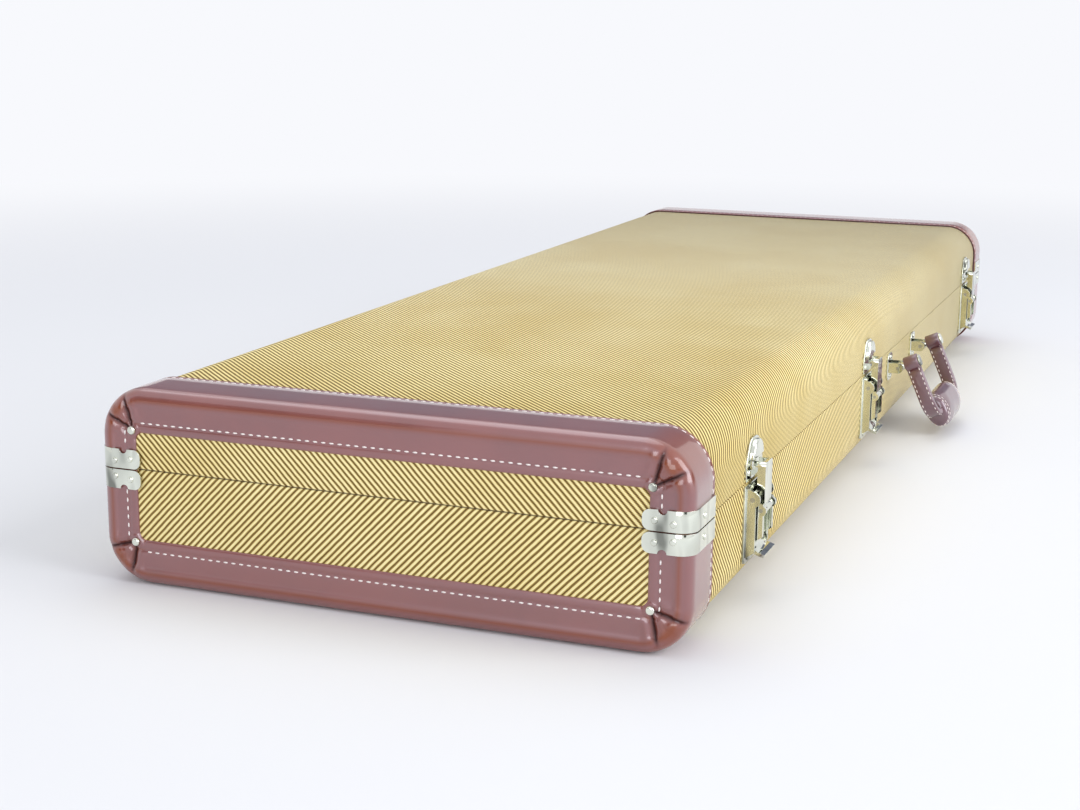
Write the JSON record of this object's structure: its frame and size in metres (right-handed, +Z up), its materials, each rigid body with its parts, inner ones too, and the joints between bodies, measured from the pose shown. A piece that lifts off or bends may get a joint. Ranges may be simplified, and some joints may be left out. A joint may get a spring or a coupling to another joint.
{
  "type": "electric guitar case",
  "caption": "Long tweed covered hard case with stitched leather ends, hinged lid, draw latches, hinged handle and a padded inside with an accessory box.",
  "frame": {"origin": "centre of the underside, on the surface the case lies on", "axes": "+X along the case to the body end, -Y to the latches and the handle, +Z up through the lid"},
  "size_m": [1.0476, 0.4201, 0.1205],
  "materials": {
    "tweed": "diagonal woven tweed",
    "leather": "glossy brown, stitched",
    "grip_leather": "glossy brown, stuffed",
    "plush": "short pile plush",
    "plywood": "raw plywood",
    "nickel": "polished nickel",
    "pin_steel": "satin",
    "hinge_plate": "polished nickel",
    "rivet_metal": "polished nickel"
  },
  "bodies": {
    "base": {"base_clamp_rivets": "rivet_metal", "base_corner_clamps": "nickel", "base_end_rivets": "rivet_metal", "base_hinge_leaves": "hinge_plate", "base_hinge_rivets": "rivet_metal", "base_leather_body": "leather", "base_leather_head": "leather", "base_lining": "plush", "base_lip": "plywood", "base_shell": "plywood", "base_tweed": "tweed", "box_wall_body": "plush", "box_wall_head": "plush", "box_wall_long": "plush", "corner_pad_front": "plush", "corner_pad_rear": "plush", "handle_mount_body": "nickel", "handle_mount_head": "nickel", "handle_mount_rivets": "rivet_metal", "handle_pins": "pin_steel", "head_rest": "plush", "hinge_pins": "pin_steel", "latch_plate_body": "nickel", "latch_plate_centre": "nickel", "latch_plate_head": "nickel", "latch_plate_rivets": "rivet_metal", "lever_pins": "pin_steel", "neck_block_rear": "plush", "neck_cradle": "plush", "waist_pad_front": "plush", "waist_pad_rear": "plush"},
    "lid": {"latch_keeper_body": "nickel", "latch_keeper_centre": "nickel", "latch_keeper_head": "nickel", "latch_keeper_rivets": "rivet_metal", "lid_clamp_rivets": "rivet_metal", "lid_corner_clamps": "nickel", "lid_end_rivets": "rivet_metal", "lid_hinge_leaves": "hinge_plate", "lid_hinge_rivets": "rivet_metal", "lid_leather_body": "leather", "lid_leather_head": "leather", "lid_lining": "plush", "lid_shell": "plywood", "lid_tweed": "tweed"},
    "lever_head": {"latch_lever_head": "nickel", "claw_pin_head": "pin_steel"},
    "claw_head": {"latch_claw_head": "nickel"},
    "lever_centre": {"latch_lever_centre": "nickel", "claw_pin_centre": "pin_steel"},
    "claw_centre": {"latch_claw_centre": "nickel"},
    "lever_body": {"latch_lever_body": "nickel", "claw_pin_body": "pin_steel"},
    "claw_body": {"latch_claw_body": "nickel"},
    "handle": {"handle_grip": "grip_leather", "handle_link_body": "nickel", "handle_link_head": "nickel", "handle_strap": "leather"},
    "flap": {"accessory_flap": "plush", "accessory_tab": "leather"}
  },
  "joints": [
    {"name": "lid_hinge", "type": "hinge", "parent": "base", "child": "lid", "pos_m": [0, 0.1858, 0.0712], "axis": [-1, 0, 0], "range_deg": [0, 105]},
    {"name": "lever_head_turn", "type": "hinge", "parent": "base", "child": "lever_head", "pos_m": [-0.395, -0.1872, 0.062], "axis": [-1, 0, 0], "range_deg": [0, 110]},
    {"name": "claw_head_turn", "type": "hinge", "parent": "lever_head", "child": "claw_head", "pos_m": [-0.395, -0.1914, 0.055], "axis": [-1, 0, 0], "range_deg": [-130, 0]},
    {"name": "lever_centre_turn", "type": "hinge", "parent": "base", "child": "lever_centre", "pos_m": [-0.059, -0.1872, 0.062], "axis": [-1, 0, 0], "range_deg": [0, 110]},
    {"name": "claw_centre_turn", "type": "hinge", "parent": "lever_centre", "child": "claw_centre", "pos_m": [-0.059, -0.1914, 0.055], "axis": [-1, 0, 0], "range_deg": [-130, 0]},
    {"name": "lever_body_turn", "type": "hinge", "parent": "base", "child": "lever_body", "pos_m": [0.421, -0.1872, 0.062], "axis": [-1, 0, 0], "range_deg": [0, 110]},
    {"name": "claw_body_turn", "type": "hinge", "parent": "lever_body", "child": "claw_body", "pos_m": [0.421, -0.1914, 0.055], "axis": [-1, 0, 0], "range_deg": [-130, 0]},
    {"name": "handle_swing", "type": "hinge", "parent": "base", "child": "handle", "pos_m": [0.082, -0.1912, 0.059], "axis": [-1, 0, 0], "range_deg": [-24, 68]},
    {"name": "flap_hinge", "type": "hinge", "parent": "base", "child": "flap", "pos_m": [-0.085, -0.0565, 0.052], "axis": [-1, 0, 0], "range_deg": [0, 95]}
  ],
  "couplings": [
    {"joint": "claw_head_turn", "follows": "lever_head_turn", "ratio": -1.15},
    {"joint": "claw_centre_turn", "follows": "lever_centre_turn", "ratio": -1.15},
    {"joint": "claw_body_turn", "follows": "lever_body_turn", "ratio": -1.15},
    {"joint": "flap_hinge", "follows": "lid_hinge", "ratio": 0.9}
  ]
}
